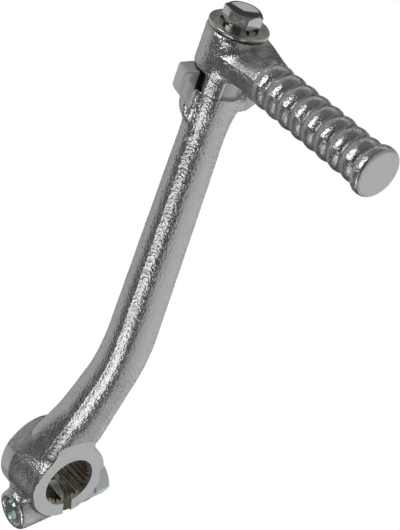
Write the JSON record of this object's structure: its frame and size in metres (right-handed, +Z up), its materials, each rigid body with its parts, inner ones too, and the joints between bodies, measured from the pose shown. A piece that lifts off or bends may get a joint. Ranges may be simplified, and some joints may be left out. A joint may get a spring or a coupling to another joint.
{
  "type": "kick start lever",
  "caption": "Folding kick start lever: a cranked round arm with a split, serrated clamp hub at its foot and a beaded foot peg that turns on a stop-limited pivot at its head.",
  "frame": {"origin": "middle of the serrated bore, on its axis", "axes": "+Z runs up the arm to the pedal's pivot, +Y runs along the bore towards the engine and -Y is outboard, where the pedal points"},
  "size_m": [0.0351, 0.0866, 0.1915],
  "materials": {
    "plated_casting": "bright plating over a sand-cast skin",
    "plated_pedal": "bright plating over a sand-cast skin",
    "pivot_steel": "bright plated",
    "washer_steel": "zinc plated, slightly yellow",
    "lock_steel": "plain spring steel",
    "clamp_steel": "zinc plated, slightly blue",
    "detent_steel": "polished steel"
  },
  "bodies": {
    "lever": {"lever_arm": "plated_casting", "pivot_bolt": "pivot_steel", "lock_washer": "lock_steel", "retaining_washer": "washer_steel", "clamp_bolt": "clamp_steel", "detent_ball": "detent_steel", "detent_spring": "detent_steel"},
    "pedal": {"folding_pedal": "plated_pedal"}
  },
  "joints": [
    {"name": "pedal_fold", "type": "hinge", "parent": "lever", "child": "pedal", "pos_m": [0, -0.0136, 0.155], "axis": [0, 0, 1], "range_deg": [-15, 75]}
  ]
}
